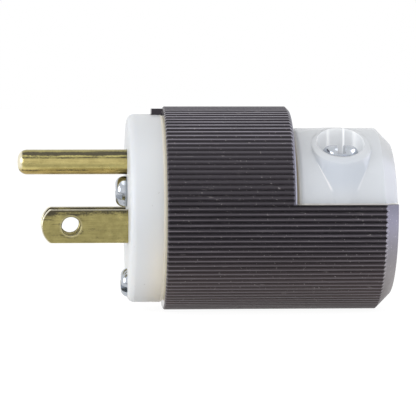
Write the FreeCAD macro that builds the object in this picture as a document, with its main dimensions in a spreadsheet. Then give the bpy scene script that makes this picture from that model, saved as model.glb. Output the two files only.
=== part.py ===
"""Straight-blade mains plug with two flat blades and a round ground pin.

The plug lies on its side, as it does on a table. X runs along the plug, with the contacts towards -X and
the cord end towards +X. Z is up, towards the ground pin and the cord clamp. The origin is the centre of
the front face. All sizes are in millimetres.
"""
import FreeCAD, Part
import math
import os
import re
import Sketcher

SIZES = {
    # Ribbed housing shell
    "shell_radius": 19.45,
    "shell_wall": 2.4,
    "shell_gap": 0.5,
    "shell_edge": 0.5,
    "rear_chamfer": 2.7,
    "rib_count": 120,
    "groove_depth": 0.4,
    "groove_width": 0.46,
    "terminal_room": 11.2,
    "cross_wall": 3.0,
    "parting_height": 1.2,
    "tab_length": 2.2,
    "tab_width": 4.6,
    "tab_thickness": 1.0,
    "tab_clearance": 0.05,
    # White front body
    "body_step": 1.45,
    "body_thickness": 6.7,
    "body_front_round": 1.3,
    "body_rear_round": 0.6,
    "spigot_clearance": 0.3,
    "spigot_length": 4.0,
    # Blades and ground pin
    "blade_spacing": 12.7,
    "blade_height": -3.15,
    "blade_width": 6.35,
    "blade_thickness": 1.52,
    "blade_reach": 16.4,
    "blade_tip_radius": 4.0,
    "blade_hole_radius": 1.75,
    "blade_hole_ease": 0.35,
    "blade_hole_reach": 10.8,
    "pin_height": 8.85,
    "pin_radius": 2.375,
    "pin_reach": 20.8,
    "pin_nose_radius": 1.9,
    "tang_width": 6.35,
    "tang_thickness": 1.6,
    "tang_end": 4.4,
    "shoulder_length": 2.0,
    "shoulder_overhang": 1.5,
    "contact_clearance": 0.15,
    # Terminals
    "terminal_gap": 0.4,
    "terminal_head_radius": 3.3,
    "terminal_head_height": 2.0,
    "terminal_shank_radius": 1.95,
    "terminal_shank_length": 4.0,
    "plate_length": 7.6,
    "plate_width": 7.0,
    "plate_thickness": 1.2,
    # Terminal block
    "block_gap": 1.5,
    "block_base": 6.0,
    "barrier_thickness": 1.4,
    "barrier_gap": 0.6,
    "barrier_room": 1.7,
    # Screws in the face
    "block_screw_gap": 0.325,
    "block_screw_head_radius": 2.95,
    "block_screw_head_height": 2.2,
    "block_screw_radius": 1.6,
    "block_screw_length": 15.4,
    "housing_screw_head_radius": 2.8,
    "housing_screw_head_height": 2.1,
    "housing_screw_sunk": 0.9,
    "housing_screw_radius": 1.6,
    "housing_screw_length": 24.0,
    "boss_inset": 2.8,
    "boss_wall": 1.6,
    "boss_clearance": 0.2,
    "hole_clearance": 0.2,
    "thread_clearance": 0.05,
    # Cord clamp
    "clamp_gap": 0.4,
    "clamp_length": 18.9,
    "clamp_step": 1.05,
    "clamp_axis_height": -3.1,
    "clamp_front_round": 1.2,
    "saddle_distance": 8.7,
    "saddle_inset": 9.95,
    "saddle_foot_radius": 7.4,
    "saddle_top_radius": 5.3,
    "saddle_slope": 30.0,
    "saddle_face_height": 12.72,
    "pocket_radius": 4.5,
    "pocket_seat": 9.75,
    "clamp_head_radius": 3.43,
    "clamp_head_height": 2.4,
    "clamp_screw_radius": 1.75,
    "clamp_screw_length": 18.0,
    "cord_radius": 5.5,
    "grip_ridge_height": 0.8,
    "grip_ridge_foot": 2.4,
    "grip_ridge_crest": 0.6,
    "grip_ridge_pitch": 4.6,
    # Screw heads and points
    "head_bevel": 0.9,
    "slot_width": 1.1,
    "slot_depth": 1.0,
    "screw_point": 0.7,
}

NAMES = re.compile(r"\b(" + "|".join(SIZES) + r")\b")

doc = FreeCAD.newDocument("type_b_plug")
sheet = doc.addObject("Spreadsheet::Sheet", "Sizes")
for row, (alias, size) in enumerate(SIZES.items(), start=1):
    sheet.set(f"A{row}", alias)
    sheet.set(f"B{row}", str(size))
    sheet.setAlias(f"B{row}", alias)
doc.recompute()

# Places that several pieces share, as expressions in the sheet's names
SHELL_FRONT = "(body_thickness + shell_gap)"
BODY_RADIUS = "(shell_radius - body_step)"
CAVITY_RADIUS = "(shell_radius - shell_wall)"
SADDLE_SPREAD = "(shell_radius - saddle_inset)"
SPIGOT_RADIUS = f"({CAVITY_RADIUS} - spigot_clearance)"
BLOCK_FRONT = "(body_thickness + spigot_length)"
BLOCK_REAR = f"({BLOCK_FRONT} + block_base)"
BLOCK_RADIUS = f"({CAVITY_RADIUS} - block_gap)"
TERMINAL_PLACE = f"({BLOCK_REAR} + plate_length / 2 + terminal_gap)"
TANG_REAR = f"({TERMINAL_PLACE} + tang_end)"
TANG_TOP = "(pin_height + tang_thickness / 2)"
CAVITY_REAR = f"({BLOCK_REAR} + terminal_room)"
NOTCH_FRONT = f"({CAVITY_REAR} + cross_wall)"
CLAMP_FRONT = f"({NOTCH_FRONT} + clamp_gap)"
CLAMP_RADIUS = "(shell_radius - clamp_step)"
CLAMP_CROWN = f"({CLAMP_RADIUS} + clamp_axis_height)"
SHELL_REAR = f"({CLAMP_FRONT} + clamp_length)"
SADDLE_PLACE = f"({CLAMP_FRONT} + saddle_distance)"
BLADE_PLACE = "(blade_spacing / 2)"
BLADE_FACE = f"({BLADE_PLACE} + blade_thickness / 2)"
BLOCK_SCREW_HEIGHT = "(pin_height - pin_radius - block_screw_head_radius - block_screw_gap)"
HOUSING_SCREW_HEIGHT = f"(boss_inset - {CAVITY_RADIUS})"
BOSS_RADIUS = "(housing_screw_radius + thread_clearance + boss_wall)"
BOSS_FRONT = f"({BLOCK_FRONT} + boss_clearance)"
BARRIER_TOP = f"({TANG_TOP} + plate_thickness - terminal_shank_length - barrier_gap)"
RIDGE_COUNT = 3


def tie(thing, prop, text):
    """Bind a property to an expression written in the sheet's names."""
    thing.setExpression(prop, NAMES.sub(r"Sizes.\1", text))


def new_body(label):
    body = doc.addObject("PartDesign::Body", label)
    body.Label = label
    return body


def origin_feature(body, role):
    return next(item for item in body.Origin.OriginFeatures if item.Role == role)


def sketch_on(body, name, plane, across="0", up="0", along="0"):
    """Attach a sketch to one of the body's own planes, shifted in the plane and along its normal."""
    sketch = body.newObject("Sketcher::SketchObject", name)
    sketch.AttachmentSupport = (origin_feature(body, plane), [""])
    sketch.MapMode = "FlatFace"
    for part, text in (("x", across), ("y", up), ("z", along)):
        tie(sketch, f"AttachmentOffset.Base.{part}", text)
    return sketch


def pin_point(sketch, geometry, point, across, up):
    """Hold a point of the sketch at two bound distances from its origin."""
    for kind, text in (("DistanceX", across), ("DistanceY", up)):
        index = sketch.addConstraint(Sketcher.Constraint(kind, -1, 1, geometry, point, 1.0))
        tie(sketch, f"Constraints[{index}]", text)


def outline(sketch, corners):
    """Close a polygon through the corners, each a pair of bound distances."""
    count = len(corners)
    turn = 2 * math.pi / count
    ring = [FreeCAD.Vector(math.cos(turn * i), math.sin(turn * i), 0) for i in range(count)]
    first = sketch.GeometryCount
    for i in range(count):
        sketch.addGeometry(Part.LineSegment(ring[i], ring[(i + 1) % count]), False)
    for i in range(count):
        joined = first + (i + 1) % count
        sketch.addConstraint(Sketcher.Constraint("Coincident", first + i, 2, joined, 1))
    for i, (across, up) in enumerate(corners):
        pin_point(sketch, first + i, 1, across, up)


def box_outline(sketch, left, bottom, right, top):
    outline(sketch, [(left, bottom), (right, bottom), (right, top), (left, top)])


def circle(sketch, across, up, radius):
    geometry = sketch.addGeometry(Part.Circle(FreeCAD.Vector(0, 0, 0), FreeCAD.Vector(0, 0, 1), 1), False)
    pin_point(sketch, geometry, 3, across, up)
    index = sketch.addConstraint(Sketcher.Constraint("Radius", geometry, 1.0))
    tie(sketch, f"Constraints[{index}]", radius)


def arch_outline(sketch, radius, chord_height, upper):
    """A circle about the sketch origin, cut off straight at a height, keeping the upper or lower part."""
    origin = FreeCAD.Vector(0, 0, 0)
    full = Part.Circle(origin, FreeCAD.Vector(0, 0, 1), 10)
    span = (0.2, math.pi - 0.2) if upper else (math.pi - 0.2, 2 * math.pi + 0.2)
    arc = Part.ArcOfCircle(full, *span)
    curve = sketch.addGeometry(arc, False)
    chord = sketch.addGeometry(Part.LineSegment(arc.EndPoint, arc.StartPoint), False)
    sketch.addConstraint(Sketcher.Constraint("Coincident", curve, 3, -1, 1))
    sketch.addConstraint(Sketcher.Constraint("Coincident", curve, 2, chord, 1))
    sketch.addConstraint(Sketcher.Constraint("Coincident", chord, 2, curve, 1))
    sketch.addConstraint(Sketcher.Constraint("Horizontal", chord))
    size = sketch.addConstraint(Sketcher.Constraint("Radius", curve, 10.0))
    tie(sketch, f"Constraints[{size}]", radius)
    height = sketch.addConstraint(Sketcher.Constraint("DistanceY", -1, 1, chord, 1, 2.0))
    tie(sketch, f"Constraints[{height}]", chord_height)


def extrude(body, kind, sketch, length, reverse=False, symmetric=False):
    feature = body.newObject(f"PartDesign::{kind}", f"{sketch.Name}_{kind.lower()}")
    feature.Profile = sketch
    feature.Reversed = reverse
    if symmetric:
        feature.SideType = "Symmetric"
    tie(feature, "Length", length)
    return feature


def pad(body, sketch, length, symmetric=False):
    """Add material along the sketch's normal."""
    return extrude(body, "Pad", sketch, length, symmetric=symmetric)


def cut(body, sketch, length, symmetric=False):
    """Take material away along the sketch's normal."""
    return extrude(body, "Pocket", sketch, length, reverse=True, symmetric=symmetric)


def spin(body, kind, sketch):
    """Turn a profile once round the sketch's own horizontal axis."""
    feature = body.newObject(f"PartDesign::{kind}", f"{sketch.Name}_{kind.lower()}")
    feature.Profile = sketch
    feature.ReferenceAxis = (sketch, ["H_Axis"])
    feature.Angle = 360
    return feature


def round_edges(body, base, wanted, radius, kind="Fillet", prop="Radius"):
    """Round or chamfer the edges of a feature that a test picks out."""
    doc.recompute()
    names = [f"Edge{i}" for i, edge in enumerate(base.Shape.Edges, start=1) if wanted(edge)]
    feature = body.newObject(f"PartDesign::{kind}", f"{base.Name}_{kind.lower()}")
    feature.Base = (base, names)
    tie(feature, prop, radius)
    return feature


def rim_at(radius, place):
    """A test for the circular edges of a radius that lie in a plane across the plug."""
    def test(edge):
        curve = edge.Curve
        round_edge = isinstance(curve, Part.Circle)
        return round_edge and abs(curve.Radius - radius) < 1e-4 and abs(curve.Center.x - place) < 1e-4
    return test


def value(alias):
    return float(sheet.get(alias))


def cord_profile(sketch, front, rear):
    """Half section of the cord passage about its axis, with grip ridges that stand in from its wall."""
    ridge_radius = "(cord_radius - grip_ridge_height)"
    corners = [(front, "0"), (front, "cord_radius")]
    for i in range(RIDGE_COUNT):
        middle = f"({SADDLE_PLACE} + grip_ridge_pitch * {i - (RIDGE_COUNT - 1) / 2})"
        corners += [
            (f"{middle} - grip_ridge_foot / 2", "cord_radius"),
            (f"{middle} - grip_ridge_crest / 2", ridge_radius),
            (f"{middle} + grip_ridge_crest / 2", ridge_radius),
            (f"{middle} + grip_ridge_foot / 2", "cord_radius"),
        ]
    corners += [(rear, "cord_radius"), (rear, "0")]
    outline(sketch, corners)


def make_housing_shell():
    body = new_body("housing_shell")
    barrel = sketch_on(body, "barrel", "XZ_Plane")
    outline(barrel, [
        (SHELL_FRONT, "0"),
        (SHELL_FRONT, "shell_radius - shell_edge"),
        (f"{SHELL_FRONT} + shell_edge", "shell_radius"),
        (f"{NOTCH_FRONT} - shell_edge", "shell_radius"),
        (NOTCH_FRONT, "shell_radius - shell_edge"),
        (NOTCH_FRONT, "0"),
    ])
    spin(body, "Revolution", barrel)
    jaw = sketch_on(body, "jaw", "YZ_Plane", along=CAVITY_REAR)
    arch_outline(jaw, "shell_radius", "parting_height", upper=False)
    pad(body, jaw, f"{SHELL_REAR} - {CAVITY_REAR}")
    rear = sketch_on(body, "rear_edge", "XZ_Plane")
    outline(rear, [
        (f"{SHELL_REAR} - rear_chamfer", "shell_radius"),
        (SHELL_REAR, "shell_radius - rear_chamfer"),
        (SHELL_REAR, "shell_radius"),
    ])
    spin(body, "Groove", rear)
    valley = sketch_on(body, "valley", "YZ_Plane", along=SHELL_FRONT)
    outline(valley, [
        ("0", "groove_depth - shell_radius"),
        ("groove_width / 2", "-shell_radius"),
        ("0", "-shell_radius - groove_depth"),
        ("-groove_width / 2", "-shell_radius"),
    ])
    first_valley = cut(body, valley, f"{SHELL_REAR} - {SHELL_FRONT}")
    ribs = body.newObject("PartDesign::PolarPattern", "ribs")
    ribs.Originals = [first_valley]
    ribs.Axis = (origin_feature(body, "X_Axis"), [""])
    ribs.Angle = 360
    tie(ribs, "Occurrences", "rib_count")
    body.Tip = ribs
    cavity = sketch_on(body, "cavity", "YZ_Plane", along=SHELL_FRONT)
    circle(cavity, "0", "0", CAVITY_RADIUS)
    cut(body, cavity, f"{CAVITY_REAR} - {SHELL_FRONT}")
    tab = sketch_on(body, "tab", "YZ_Plane", along=f"{SHELL_FRONT} - tab_length")
    tab_base = f"{BODY_RADIUS} + tab_clearance"
    box_outline(tab, "-tab_width / 2", tab_base, "tab_width / 2", f"{tab_base} + tab_thickness")
    pad(body, tab, "tab_length + shell_edge")
    boss = sketch_on(body, "boss", "YZ_Plane", along=BOSS_FRONT)
    circle(boss, "0", HOUSING_SCREW_HEIGHT, BOSS_RADIUS)
    pad(body, boss, f"{CAVITY_REAR} - {BOSS_FRONT}")
    boss_hole = sketch_on(body, "boss_hole", "YZ_Plane", along=BOSS_FRONT)
    circle(boss_hole, "0", HOUSING_SCREW_HEIGHT, "housing_screw_radius + thread_clearance")
    cut(body, boss_hole, f"{CAVITY_REAR} - {BOSS_FRONT}")
    passage = sketch_on(body, "passage", "XZ_Plane", up="parting_height")
    cord_profile(passage, CAVITY_REAR, SHELL_REAR)
    spin(body, "Groove", passage)
    for side, name in ((-1, "near"), (1, "far")):
        pilot = sketch_on(body, f"pilot_{name}", "XY_Plane", along="parting_height")
        circle(pilot, SADDLE_PLACE, f"{side} * {SADDLE_SPREAD}", "clamp_screw_radius + thread_clearance")
        hole = cut(body, pilot, "clamp_screw_length + parting_height - pocket_seat + hole_clearance")
        hole.Reversed = False
    return body


def make_front_body():
    body = new_body("front_body")
    profile = sketch_on(body, "disc", "XZ_Plane")
    outline(profile, [
        ("0", "0"),
        ("0", BODY_RADIUS),
        ("body_thickness", BODY_RADIUS),
        ("body_thickness", SPIGOT_RADIUS),
        (BLOCK_FRONT, SPIGOT_RADIUS),
        (BLOCK_FRONT, "0"),
    ])
    disc = spin(body, "Revolution", profile)
    outer = value("shell_radius") - value("body_step")
    front = round_edges(body, disc, rim_at(outer, 0), "body_front_round")
    round_edges(body, front, rim_at(outer, value("body_thickness")), "body_rear_round")
    openings = sketch_on(body, "contact_openings", "YZ_Plane")
    half_wide = "(blade_thickness / 2 + contact_clearance)"
    half_tall = "(blade_width / 2 + contact_clearance)"
    for side in (-1, 1):
        middle = f"{side} * {BLADE_PLACE}"
        box_outline(openings, f"{middle} - {half_wide}", f"blade_height - {half_tall}",
                    f"{middle} + {half_wide}", f"blade_height + {half_tall}")
    circle(openings, "0", "pin_height", "pin_radius + contact_clearance")
    circle(openings, "0", BLOCK_SCREW_HEIGHT, "block_screw_radius + hole_clearance")
    circle(openings, "0", HOUSING_SCREW_HEIGHT, "housing_screw_radius + hole_clearance")
    cut(body, openings, BLOCK_FRONT)
    sink = sketch_on(body, "screw_sink", "YZ_Plane")
    circle(sink, "0", HOUSING_SCREW_HEIGHT, "housing_screw_head_radius + hole_clearance")
    cut(body, sink, "housing_screw_sunk")
    return body


def make_blade(label, side):
    """Flat blade with a rounded tip, a shoulder that the block holds, and a drilled tang."""
    body = new_body(label)
    shape = sketch_on(body, f"{label}_shape", "XZ_Plane", up="blade_height")
    radius = value("blade_tip_radius")
    reach = value("blade_reach")
    half = value("blade_width") / 2
    spread = math.asin(half / radius)
    disc = Part.Circle(FreeCAD.Vector(radius - reach, 0, 0), FreeCAD.Vector(0, 0, 1), radius)
    tip = Part.ArcOfCircle(disc, math.pi - spread, math.pi + spread)
    low = FreeCAD.Vector(reach, -half, 0)
    high = FreeCAD.Vector(reach, half, 0)
    curve = shape.addGeometry(tip, False)
    lower = shape.addGeometry(Part.LineSegment(tip.EndPoint, low), False)
    end = shape.addGeometry(Part.LineSegment(low, high), False)
    upper = shape.addGeometry(Part.LineSegment(high, tip.StartPoint), False)
    for first, second in ((curve, lower), (lower, end), (end, upper), (upper, curve)):
        shape.addConstraint(Sketcher.Constraint("Coincident", first, 2, second, 1))
    for edge in (lower, upper):
        shape.addConstraint(Sketcher.Constraint("Horizontal", edge))
    pin_point(shape, end, 1, TANG_REAR, "-blade_width / 2")
    pin_point(shape, end, 2, TANG_REAR, "blade_width / 2")
    pin_point(shape, curve, 3, "blade_tip_radius - blade_reach", "0")
    size = shape.addConstraint(Sketcher.Constraint("Radius", curve, radius))
    tie(shape, f"Constraints[{size}]", "blade_tip_radius")
    pad(body, shape, "blade_thickness", symmetric=True)
    shoulder = sketch_on(body, f"{label}_shoulder", "XZ_Plane", up="blade_height")
    tall = "(blade_width / 2 + shoulder_overhang)"
    box_outline(shoulder, BLOCK_FRONT, f"-{tall}", f"{BLOCK_FRONT} + shoulder_length", tall)
    pad(body, shoulder, "blade_thickness", symmetric=True)
    holes = sketch_on(body, f"{label}_holes", "XZ_Plane", up="blade_height")
    circle(holes, "-blade_hole_reach", "0", "blade_hole_radius")
    circle(holes, TERMINAL_PLACE, "0", "terminal_shank_radius + thread_clearance")
    drilled = cut(body, holes, "blade_thickness * 2", symmetric=True)
    hole_radius = value("blade_hole_radius")

    def hole_rim(edge):
        return isinstance(edge.Curve, Part.Circle) and abs(edge.Curve.Radius - hole_radius) < 1e-4
    round_edges(body, drilled, hole_rim, "blade_hole_ease", "Chamfer", "Size")
    tie(body, "Placement.Base.y", f"{side} * {BLADE_PLACE}")
    return body


def make_ground_pin():
    body = new_body("ground_pin")
    profile = sketch_on(body, "pin_profile", "XZ_Plane", up="pin_height")
    collar_rear = f"({BLOCK_FRONT} + shoulder_length)"
    outline(profile, [
        ("-pin_reach", "0"),
        ("-pin_reach", "pin_radius"),
        (BLOCK_FRONT, "pin_radius"),
        (BLOCK_FRONT, "pin_radius + shoulder_overhang"),
        (collar_rear, "pin_radius + shoulder_overhang"),
        (collar_rear, "0"),
    ])
    turned = spin(body, "Revolution", profile)
    round_edges(body, turned, rim_at(value("pin_radius"), -value("pin_reach")), "pin_nose_radius")
    tang = sketch_on(body, "tang", "XY_Plane", along="pin_height")
    box_outline(tang, collar_rear, "-tang_width / 2", TANG_REAR, "tang_width / 2")
    pad(body, tang, "tang_thickness", symmetric=True)
    hole = sketch_on(body, "tang_hole", "XY_Plane", along="pin_height")
    circle(hole, TERMINAL_PLACE, "0", "terminal_shank_radius + thread_clearance")
    cut(body, hole, "tang_thickness * 2", symmetric=True)
    return body


def make_terminal_block():
    """Block behind the front body: it traps the contacts' shoulders and parts the three terminals."""
    body = new_body("terminal_block")
    base = sketch_on(body, "block_base_disc", "YZ_Plane", along=BLOCK_FRONT)
    flat = f"({HOUSING_SCREW_HEIGHT} + {BOSS_RADIUS} + block_gap)"
    arch_outline(base, BLOCK_RADIUS, flat, upper=True)
    pad(body, base, "block_base")
    barriers = sketch_on(body, "barriers", "YZ_Plane", along=BLOCK_REAR)
    half = "barrier_thickness / 2"
    ledge = f"({BARRIER_TOP} - barrier_thickness)"
    wing = f"sqrt({BLOCK_RADIUS} ^ 2 - {BARRIER_TOP} ^ 2)"
    outline(barriers, [
        (f"-{half}", flat),
        (half, flat),
        (half, ledge),
        (wing, ledge),
        (wing, BARRIER_TOP),
        (f"-{wing}", BARRIER_TOP),
        (f"-{wing}", ledge),
        (f"-{half}", ledge),
    ])
    pad(body, barriers, "terminal_room - barrier_room")
    openings = sketch_on(body, "block_openings", "YZ_Plane", along=BLOCK_FRONT)
    half_wide = "(blade_thickness / 2 + contact_clearance)"
    half_tall = "(blade_width / 2 + contact_clearance)"
    for side in (-1, 1):
        middle = f"{side} * {BLADE_PLACE}"
        box_outline(openings, f"{middle} - {half_wide}", f"blade_height - {half_tall}",
                    f"{middle} + {half_wide}", f"blade_height + {half_tall}")
    tang_half = "(tang_width / 2 + contact_clearance)"
    tang_tall = "(tang_thickness / 2 + contact_clearance)"
    box_outline(openings, f"-{tang_half}", f"pin_height - {tang_tall}", tang_half, f"pin_height + {tang_tall}")
    cut(body, openings, "block_base")
    seats = sketch_on(body, "shoulder_seats", "YZ_Plane", along=BLOCK_FRONT)
    seat_tall = "(blade_width / 2 + shoulder_overhang + contact_clearance)"
    for side in (-1, 1):
        middle = f"{side} * {BLADE_PLACE}"
        box_outline(seats, f"{middle} - {half_wide}", f"blade_height - {seat_tall}",
                    f"{middle} + {half_wide}", f"blade_height + {seat_tall}")
    circle(seats, "0", "pin_height", "pin_radius + shoulder_overhang + contact_clearance")
    cut(body, seats, "shoulder_length")
    pilot = sketch_on(body, "block_pilot", "YZ_Plane", along=BLOCK_FRONT)
    circle(pilot, "0", BLOCK_SCREW_HEIGHT, "block_screw_radius + thread_clearance")
    cut(body, pilot, "block_base")
    return body


def make_screw(label, size, place, axis, turn):
    """Pan-head screw: its head starts at the seat and its shank runs the other way.

    size names the head radius, head height, shank radius and shank length; place is where the seat lies;
    axis and turn swing it from upright to its hole.
    """
    head_radius, head_height, shank_radius, length = size
    body = new_body(label)
    profile = sketch_on(body, f"{label}_profile", "YZ_Plane")
    outline(profile, [
        ("0", f"-{length}"),
        (f"{shank_radius} - screw_point", f"-{length}"),
        (shank_radius, f"screw_point - {length}"),
        (shank_radius, "0"),
        (head_radius, "0"),
        (head_radius, head_height),
        ("0", head_height),
    ])
    turned = body.newObject("PartDesign::Revolution", f"{label}_turned")
    turned.Profile = profile
    turned.ReferenceAxis = (profile, ["V_Axis"])
    turned.Angle = 360
    doc.recompute()
    crown = max(edge.BoundBox.ZMax for edge in turned.Shape.Edges)

    def top_rim(edge):
        return isinstance(edge.Curve, Part.Circle) and abs(edge.Curve.Center.z - crown) < 1e-4
    round_edges(body, turned, top_rim, "head_bevel", "Chamfer", "Size")
    slot = sketch_on(body, f"{label}_slot", "XY_Plane", along=f"{head_height} - slot_depth")
    reach = f"({head_radius} + slot_width)"
    box_outline(slot, f"-{reach}", "-slot_width / 2", reach, "slot_width / 2")
    cut(body, slot, "slot_depth * 2")
    body.Placement = FreeCAD.Placement(FreeCAD.Vector(0, 0, 0), FreeCAD.Rotation(axis, turn))
    for part, text in zip("xyz", place):
        tie(body, f"Placement.Base.{part}", text)
    return body


def make_pressure_plate(label, place, axis, turn):
    """Small plate under a terminal screw's head, which presses the wire on the tang."""
    body = new_body(label)
    shape = sketch_on(body, f"{label}_shape", "XY_Plane")
    box_outline(shape, "-plate_length / 2", "-plate_width / 2", "plate_length / 2", "plate_width / 2")
    circle(shape, "0", "0", "terminal_shank_radius + hole_clearance")
    pad(body, shape, "plate_thickness")
    body.Placement = FreeCAD.Placement(FreeCAD.Vector(0, 0, 0), FreeCAD.Rotation(axis, turn))
    for part, text in zip("xyz", place):
        tie(body, f"Placement.Base.{part}", text)
    return body


def make_cord_clamp():
    """Arched saddle over the cord, with a conical boss round each screw and a ridged groove below."""
    body = new_body("cord_clamp")
    arch = sketch_on(body, "arch", "YZ_Plane", up="clamp_axis_height", along=CLAMP_FRONT)
    arch_outline(arch, CLAMP_RADIUS, "parting_height - clamp_axis_height", upper=True)
    pad(body, arch, "clamp_length")
    rear = sketch_on(body, "clamp_rear_edge", "XZ_Plane", up="clamp_axis_height")
    outline(rear, [
        (f"{SHELL_REAR} - rear_chamfer", CLAMP_RADIUS),
        (SHELL_REAR, f"{CLAMP_RADIUS} - rear_chamfer"),
        (SHELL_REAR, CLAMP_RADIUS),
    ])
    bevelled = spin(body, "Groove", rear)
    doc.recompute()
    front_place = bevelled.Shape.BoundBox.XMin
    arch_radius = value("shell_radius") - value("clamp_step")
    round_edges(body, bevelled, rim_at(arch_radius, front_place), "clamp_front_round")
    for side, name in ((-1, "near"), (1, "far")):
        boss = body.newObject("PartDesign::AdditiveCone", f"saddle_{name}")
        tie(boss, "Radius1", "saddle_foot_radius")
        tie(boss, "Radius2", "saddle_top_radius")
        tie(boss, "Height", f"{CLAMP_CROWN} - parting_height")
        boss.AttachmentSupport = (origin_feature(body, "XY_Plane"), [""])
        boss.MapMode = "FlatFace"
        tie(boss, "AttachmentOffset.Base.x", SADDLE_PLACE)
        tie(boss, "AttachmentOffset.Base.y", f"{side} * {SADDLE_SPREAD}")
        tie(boss, "AttachmentOffset.Base.z", "parting_height")
        slope = sketch_on(body, f"saddle_face_{name}", "YZ_Plane", along=CLAMP_FRONT)
        inner = f"{side} * ({SADDLE_SPREAD} - saddle_foot_radius)"
        outer = f"{side} * ({SADDLE_SPREAD} + saddle_foot_radius)"
        rise = "saddle_foot_radius * tan(saddle_slope)"
        outline(slope, [
            (inner, f"saddle_face_height + {rise}"),
            (outer, f"saddle_face_height - {rise}"),
            (outer, f"{CLAMP_CROWN} + {rise}"),
            (inner, f"{CLAMP_CROWN} + {rise}"),
        ])
        cut(body, slope, "clamp_length")
    pockets = sketch_on(body, "screw_pockets", "XY_Plane", along="pocket_seat")
    shanks = sketch_on(body, "screw_holes", "XY_Plane", along="parting_height")
    for side in (-1, 1):
        circle(pockets, SADDLE_PLACE, f"{side} * {SADDLE_SPREAD}", "pocket_radius")
        circle(shanks, SADDLE_PLACE, f"{side} * {SADDLE_SPREAD}", "clamp_screw_radius + hole_clearance")
    cut(body, pockets, CLAMP_CROWN)
    cut(body, shanks, CLAMP_CROWN)
    groove = sketch_on(body, "cord_groove", "XZ_Plane", up="parting_height")
    cord_profile(groove, CLAMP_FRONT, SHELL_REAR)
    spin(body, "Groove", groove)
    return body


X_AXIS = FreeCAD.Vector(1, 0, 0)
Y_AXIS = FreeCAD.Vector(0, 1, 0)
UPRIGHT = (X_AXIS, 0)
TOWARDS_FACE = (Y_AXIS, -90)

TERMINAL_SCREW = ("terminal_head_radius", "terminal_head_height", "terminal_shank_radius",
                  "terminal_shank_length")
BLOCK_SCREW = ("block_screw_head_radius", "block_screw_head_height", "block_screw_radius",
               "block_screw_length")
HOUSING_SCREW = ("housing_screw_head_radius", "housing_screw_head_height", "housing_screw_radius",
                 "housing_screw_length")
CLAMP_SCREW = ("clamp_head_radius", "clamp_head_height", "clamp_screw_radius", "clamp_screw_length")

parts = [
    make_housing_shell(),
    make_front_body(),
    make_terminal_block(),
    make_ground_pin(),
    make_cord_clamp(),
    make_screw("block_screw", BLOCK_SCREW, ("0", "0", BLOCK_SCREW_HEIGHT), *TOWARDS_FACE),
    make_screw("housing_screw", HOUSING_SCREW, ("housing_screw_sunk", "0", HOUSING_SCREW_HEIGHT),
               *TOWARDS_FACE),
]
for side, label in ((-1, "line"), (1, "neutral")):
    outward = (X_AXIS, -90 * side)
    parts.append(make_blade(f"{label}_blade", side))
    plate_place = (TERMINAL_PLACE, f"{side} * {BLADE_FACE}", "blade_height")
    parts.append(make_pressure_plate(f"{label}_pressure_plate", plate_place, *outward))
    screw_place = (TERMINAL_PLACE, f"{side} * ({BLADE_FACE} + plate_thickness)", "blade_height")
    parts.append(make_screw(f"{label}_terminal_screw", TERMINAL_SCREW, screw_place, *outward))
for side, label in ((-1, "right"), (1, "left")):
    seat = (SADDLE_PLACE, f"{side} * {SADDLE_SPREAD}", "pocket_seat")
    parts.append(make_screw(f"clamp_screw_{label}", CLAMP_SCREW, seat, *UPRIGHT))
parts.append(make_pressure_plate("ground_pressure_plate", (TERMINAL_PLACE, "0", TANG_TOP), *UPRIGHT))
parts.append(make_screw("ground_terminal_screw", TERMINAL_SCREW,
                        (TERMINAL_PLACE, "0", f"{TANG_TOP} + plate_thickness"), *UPRIGHT))

doc.recompute()
failed = [item.Label for item in doc.Objects if {"Invalid", "Error"} & set(item.State)]
if failed:
    raise RuntimeError("these features failed: " + ", ".join(failed))
for part in parts:
    if part.Shape.isNull() or not part.Shape.isValid() or len(part.Shape.Solids) != 1:
        raise RuntimeError("not one sound solid: " + part.Label)

os.makedirs("parts", exist_ok=True)
for part in parts:
    part.Shape.exportStep(f"parts/{part.Label}.step")
    print(f"{part.Label}: {part.Shape.Volume:.1f} cubic millimetres")
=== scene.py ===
"""Looks of a straight-blade mains plug: ribbed black shell, white nylon, aged brass and zinc screws.

Lengths are in millimetres along the plug's own axes, as in its construction: X runs along the plug, from the
contacts at -X to the cord end at +X, and Z is up. Pieces are modelled in millimetres and scaled to metres
when they are finished. The floor, the card and the lights are placed in metres.
"""
import math
from contextlib import contextmanager

import bpy
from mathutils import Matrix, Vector


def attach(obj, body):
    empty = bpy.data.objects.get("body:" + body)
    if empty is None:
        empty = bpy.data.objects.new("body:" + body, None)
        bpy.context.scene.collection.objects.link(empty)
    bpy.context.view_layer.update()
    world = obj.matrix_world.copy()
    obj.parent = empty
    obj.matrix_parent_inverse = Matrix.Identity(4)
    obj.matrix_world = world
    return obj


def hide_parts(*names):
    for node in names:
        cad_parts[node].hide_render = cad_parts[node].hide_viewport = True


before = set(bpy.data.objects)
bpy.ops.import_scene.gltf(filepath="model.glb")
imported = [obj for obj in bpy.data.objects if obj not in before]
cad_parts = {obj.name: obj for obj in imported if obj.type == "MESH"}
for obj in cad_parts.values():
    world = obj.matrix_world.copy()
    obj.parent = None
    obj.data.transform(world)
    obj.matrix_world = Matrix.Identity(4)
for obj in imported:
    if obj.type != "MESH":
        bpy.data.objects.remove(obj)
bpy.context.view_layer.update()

MM = 0.001

# Modelling: points closer than this merge, cutters run on past a piece, and turns of a piece drawn upright
CLOSE = 2e-3
OVERRUN = 5
UPRIGHT = (0, 0, 0)
ALONG_X = (0, math.pi / 2, 0)
ALONG_Y = (math.pi / 2, 0, 0)
TOWARDS_FACE = (0, -math.pi / 2, 0)

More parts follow.
